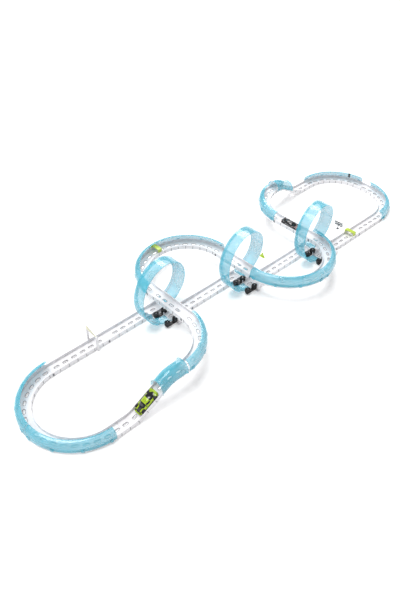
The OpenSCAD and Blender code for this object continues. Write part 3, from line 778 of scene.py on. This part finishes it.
def car_shell(car, mats, hood_w):
    """Body of one car. mats are paint, glass, trim, hood and lamp."""
    mesh = Mesh()
    xs = [HALF_L * sin(radians(-90 + 180 * i / 56)) for i in range(57)]
    verts, faces = skin([body_ring(x) for x in xs])
    paint = []
    for c in face_centres(verts, faces):
        x, y, z = c / MM
        on_hood = 15 < x < 35 and abs(y) < hood_w and z > through(BELT, x) - 2.0
        paint.append(3 if on_hood else 2 if z < 4.9 else 0)
    mesh.add(verts, faces, paint)
    slot = "lime_paint" if car == "green" else "black_paint"
    obj = mesh.piece(f"{car}_lower_shell", mats, f"{car}_car", slot, replaced=[f"{car}_body"])
    cut_arches(obj)
    top = Mesh()
    xs = [-32 + 53 * i / 44 for i in range(45)]
    verts, faces = skin([cabin_ring(x) for x in xs])
    top.add(verts, faces, [cabin_paint(c) for c in face_centres(verts, faces)])
    trim(top, car)
    upper = top.piece(f"{car}_cabin_and_trim", mats, f"{car}_car", slot, bevel=0.12 * MM)
    return obj, upper


def trim(mesh, car):
    """Spoiler, hood scoops, side vents, lamps and mirrors."""
    ahead, side = (1, 0, 0), (0, 1, 0)
    parts = [((-33.5, 0, 15.2), (2.2, 12.5, 0.5), 2 if car == "black" else 0)]
    parts += [((-33.2, s * 9, 13.6), (1.2, 0.5, 1.5), 2) for s in (-1, 1)]
    parts += [((22, s * 4.2, 10.75), (5.5, 1.2, 0.35), 2) for s in (-1, 1)]
    parts += [((-2, s * 16.35, 8.2), (9.0, 0.3, 0.7), 2) for s in (-1, 1)]
    parts += [((-11.5, s * 15.9, 10.0), (2.6, 0.5, 0.8), 2) for s in (-1, 1)]
    parts += [((33.2, s * 9.8, 8.3), (1.6, 2.2, 0.45), 4) for s in (-1, 1)]
    parts += [((-36.6, s * 9.5, 9.6), (0.6, 2.6, 0.6), 3) for s in (-1, 1)]
    parts += [((7.5, s * 14.3, 12.6), (1.0, 1.2, 0.7), 2) for s in (-1, 1)]
    parts += [((-1.5, s * 3.0, 19.0 - 0.22), (3.4, 0.4, 0.2), 2) for s in (-1, 1)]
    for centre, half, mat in parts:
        mesh.add(*block(Vector(centre) * MM, ahead, side, [h * MM for h in half]), mat)


def car_matrix(car):
    front, rear = (Vector(JOINTS[f"{car}_{w}_wheels_spin"]["pos_m"]) for w in ("front", "rear"))
    ahead = (front - rear).normalized()
    left = Vector((0, 0, 1)).cross(ahead).normalized()
    up = ahead.cross(left)
    turn = Matrix((ahead, left, up)).transposed().to_4x4()
    return Matrix.Translation((front + rear) / 2 - up * WHEEL_R) @ turn


def cars():
    looks = {"green": ([LIME_PAINT, GLASS, BLACK, DARK_PAINT, GLASS], 4.5),
             "black": ([DARK_PAINT, GLASS, BLACK, PINK_SILVER, GREY], 12)}
    for car, (mats, hood_w) in looks.items():
        place = car_matrix(car)
        for obj in car_shell(car, mats, hood_w):
            obj.data.transform(place)
        for end in ("front", "rear"):
            wheelset(car, end)
        frame["nodes"][f"{car}_chassis"].data.materials[0] = BLACK


# ---- Gates ----


def pennant():
    """Thin plate above the start gate's bar, rising to a point, with a thicker panel inside its edge."""
    low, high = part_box("start_gate")
    x, top = (low[0] + high[0]) / 2, high[2]
    span = LANE_W / 2
    bar = top - 15 * MM
    y = LANE_Y[0]
    steps, mesh = 14, Mesh()
    for inset, depth in ((0.0, 0.9 * MM), (2.0 * MM, 1.15 * MM)):
        rows = []
        for i in range(steps + 1):
            t = i / steps
            yy = y - span - 3 * MM + inset + (2 * span + 8 * MM - 2 * inset) * t
            peak = bar + inset * 0.5 + max(0.2 * MM, (top - bar - 1.5 * inset) * t)
            rows.append([Vector((x - depth, yy, bar)), Vector((x + depth, yy, bar)),
                         Vector((x + depth, yy, peak)), Vector((x - depth, yy, peak))])
        mesh.add(*skin(rows))
    mesh.piece("start_pennant", [CREAM], "track", "white_plastic")


# ---- Signs ----


def signs():
    east, north = (1, 0, 0), (0, 1, 0)
    x, y = LOOP_X[2] + 200 * MM, LANE_Y[3] + 60 * MM
    board = Mesh()
    board.add(*block((x + 1.8 * MM, y, 21.5 * MM), east, north, (0.8 * MM, 18 * MM, 8.5 * MM)), 0)
    board.add(*block((x, y, 10 * MM), east, north, (1.2 * MM, 1.2 * MM, 10 * MM)), 1)
    board.add(*block((x, y, 0.8 * MM), east, north, (4 * MM, 4 * MM, 0.8 * MM)), 1)
    board.piece("checker_sign", [CHECKER, GREY], "track", "grey_plastic", replaced=["marker_signs"],
                bevel=0.2 * MM)
    x, y = LOOP_X[1] + 160 * MM, LANE_Y[2] + 75 * MM
    arrow = Mesh()
    outline = [(-10, 0), (10, 0), (10, 1), (0.8, 18), (-0.8, 18), (-10, 1)]
    arrow.add(*skin([[Vector((x + d * MM, y + a * MM, b * MM)) for a, b in outline] for d in (-0.8, 0.8)]))
    arrow.add(*block((x, y, 0.8 * MM), east, north, (4 * MM, 10 * MM, 0.8 * MM)))
    arrow.piece("lime_triangle", [LIME], "track", "lime_plastic", bevel=0.2 * MM)
    tag, turn = Mesh(), radians(19)
    r = GUARD_OUT - CURL_R - 1.4 * MM
    tag.add(*block(on_circle((X_RIGHT, Y_HIGH, 0), turn, r, CURL_Z + CURL_R - 5.5 * MM),
                   (-sin(turn), cos(turn), 0), (cos(turn), sin(turn), 0), (4 * MM, 0.9 * MM, 8.5 * MM)))
    tag.piece("guard_tag", [BLACK], "track", "black_plastic", bevel=0.3 * MM)


# ---- CAD nodes that keep their shape ----


def carried_over():
    by_slot = {"white_plastic": WHITE, "black_plastic": BLACK, "grey_plastic": GREY, "lime_plastic": LIME,
               "steel": STEEL, "cell": CELL, "clear_blue": BLUE, "rubber": RUBBER}
    slots = {part["node"]: part["material_slot"] for part in frame["record"]["subparts"]}
    for name, node in frame["nodes"].items():
        if slots[name] in by_slot:
            node.data.materials.clear()
            node.data.materials.append(by_slot[slots[name]])


# ---- Floor, light and camera ----


def stage():
    mesh = bpy.data.meshes.new("floor")
    reach = 12
    mesh.from_pydata([(-reach, -reach, 0), (reach, -reach, 0), (reach, reach, 0), (-reach, reach, 0)],
                     [], [(0, 1, 2, 3)])
    floor = bpy.data.objects.new("floor", mesh)
    floor.location.z = cad_bounds[0][2] - 0.0002
    bpy.context.scene.collection.objects.link(floor)
    shader = Shader("pale_floor", roughness=0.9, emission_strength=0.2)
    shader.bsdf.inputs["Emission Color"].default_value = (1, 1, 1, 1)
    shader.colour(shader.noise(3), [(0.4, (0.96, 0.96, 0.96)), (0.6, (0.975, 0.975, 0.975))])
    mesh.materials.append(shader.mat)


def lights():
    world = bpy.data.worlds.new("studio")
    world.use_nodes = True
    world.node_tree.nodes["Background"].inputs["Color"].default_value = (1, 1, 1, 1)
    world.node_tree.nodes["Background"].inputs["Strength"].default_value = 0.36
    bpy.context.scene.world = world
    sun = bpy.data.lights.new("overhead_sun", "SUN")
    sun.energy = 2.35
    sun.angle = radians(35)
    overhead = bpy.data.objects.new("overhead_sun", sun)
    overhead.rotation_euler = (radians(-12), radians(-10), 0)
    bpy.context.scene.collection.objects.link(overhead)
    window = bpy.data.lights.new("window", "AREA")
    window.size = 1.3
    window.energy = 34
    light = bpy.data.objects.new("window", window)
    light.location = (1.7, 1.8, 2.3)
    light.rotation_euler = (Vector((0, 0, 0.1)) - light.location).to_track_quat("-Z", "Y").to_euler()
    bpy.context.scene.collection.objects.link(light)


def camera():
    azimuth, elevation, roll = radians(43.52), radians(41.29), radians(0.51)
    distance, aim = 1.9992, Vector((-0.1457, 0.0033, 0.002))
    ahead = Vector((sin(azimuth) * cos(elevation), cos(azimuth) * cos(elevation), -sin(elevation)))
    flat_right = Vector((cos(azimuth), -sin(azimuth), 0))
    flat_up = flat_right.cross(ahead)
    right = flat_right * cos(roll) + flat_up * sin(roll)
    up = flat_up * cos(roll) - flat_right * sin(roll)
    data = bpy.data.cameras.new("camera")
    data.lens = 36.97
    data.clip_end = 50
    cam = bpy.data.objects.new("camera", data)
    turn = Matrix((right, up, -ahead)).transposed().to_4x4()
    cam.matrix_world = Matrix.Translation(aim - ahead * distance) @ turn
    bpy.context.scene.collection.objects.link(cam)
    bpy.context.scene.camera = cam
    bpy.context.scene.view_settings.view_transform = "Standard"


carried_over()
guards()
for n in (1, 2, 3):
    race_loop(n)
tunnels()
lane_details()
joint_clips()
rollers()
cars()
pennant()
signs()
stage()
lights()
camera()
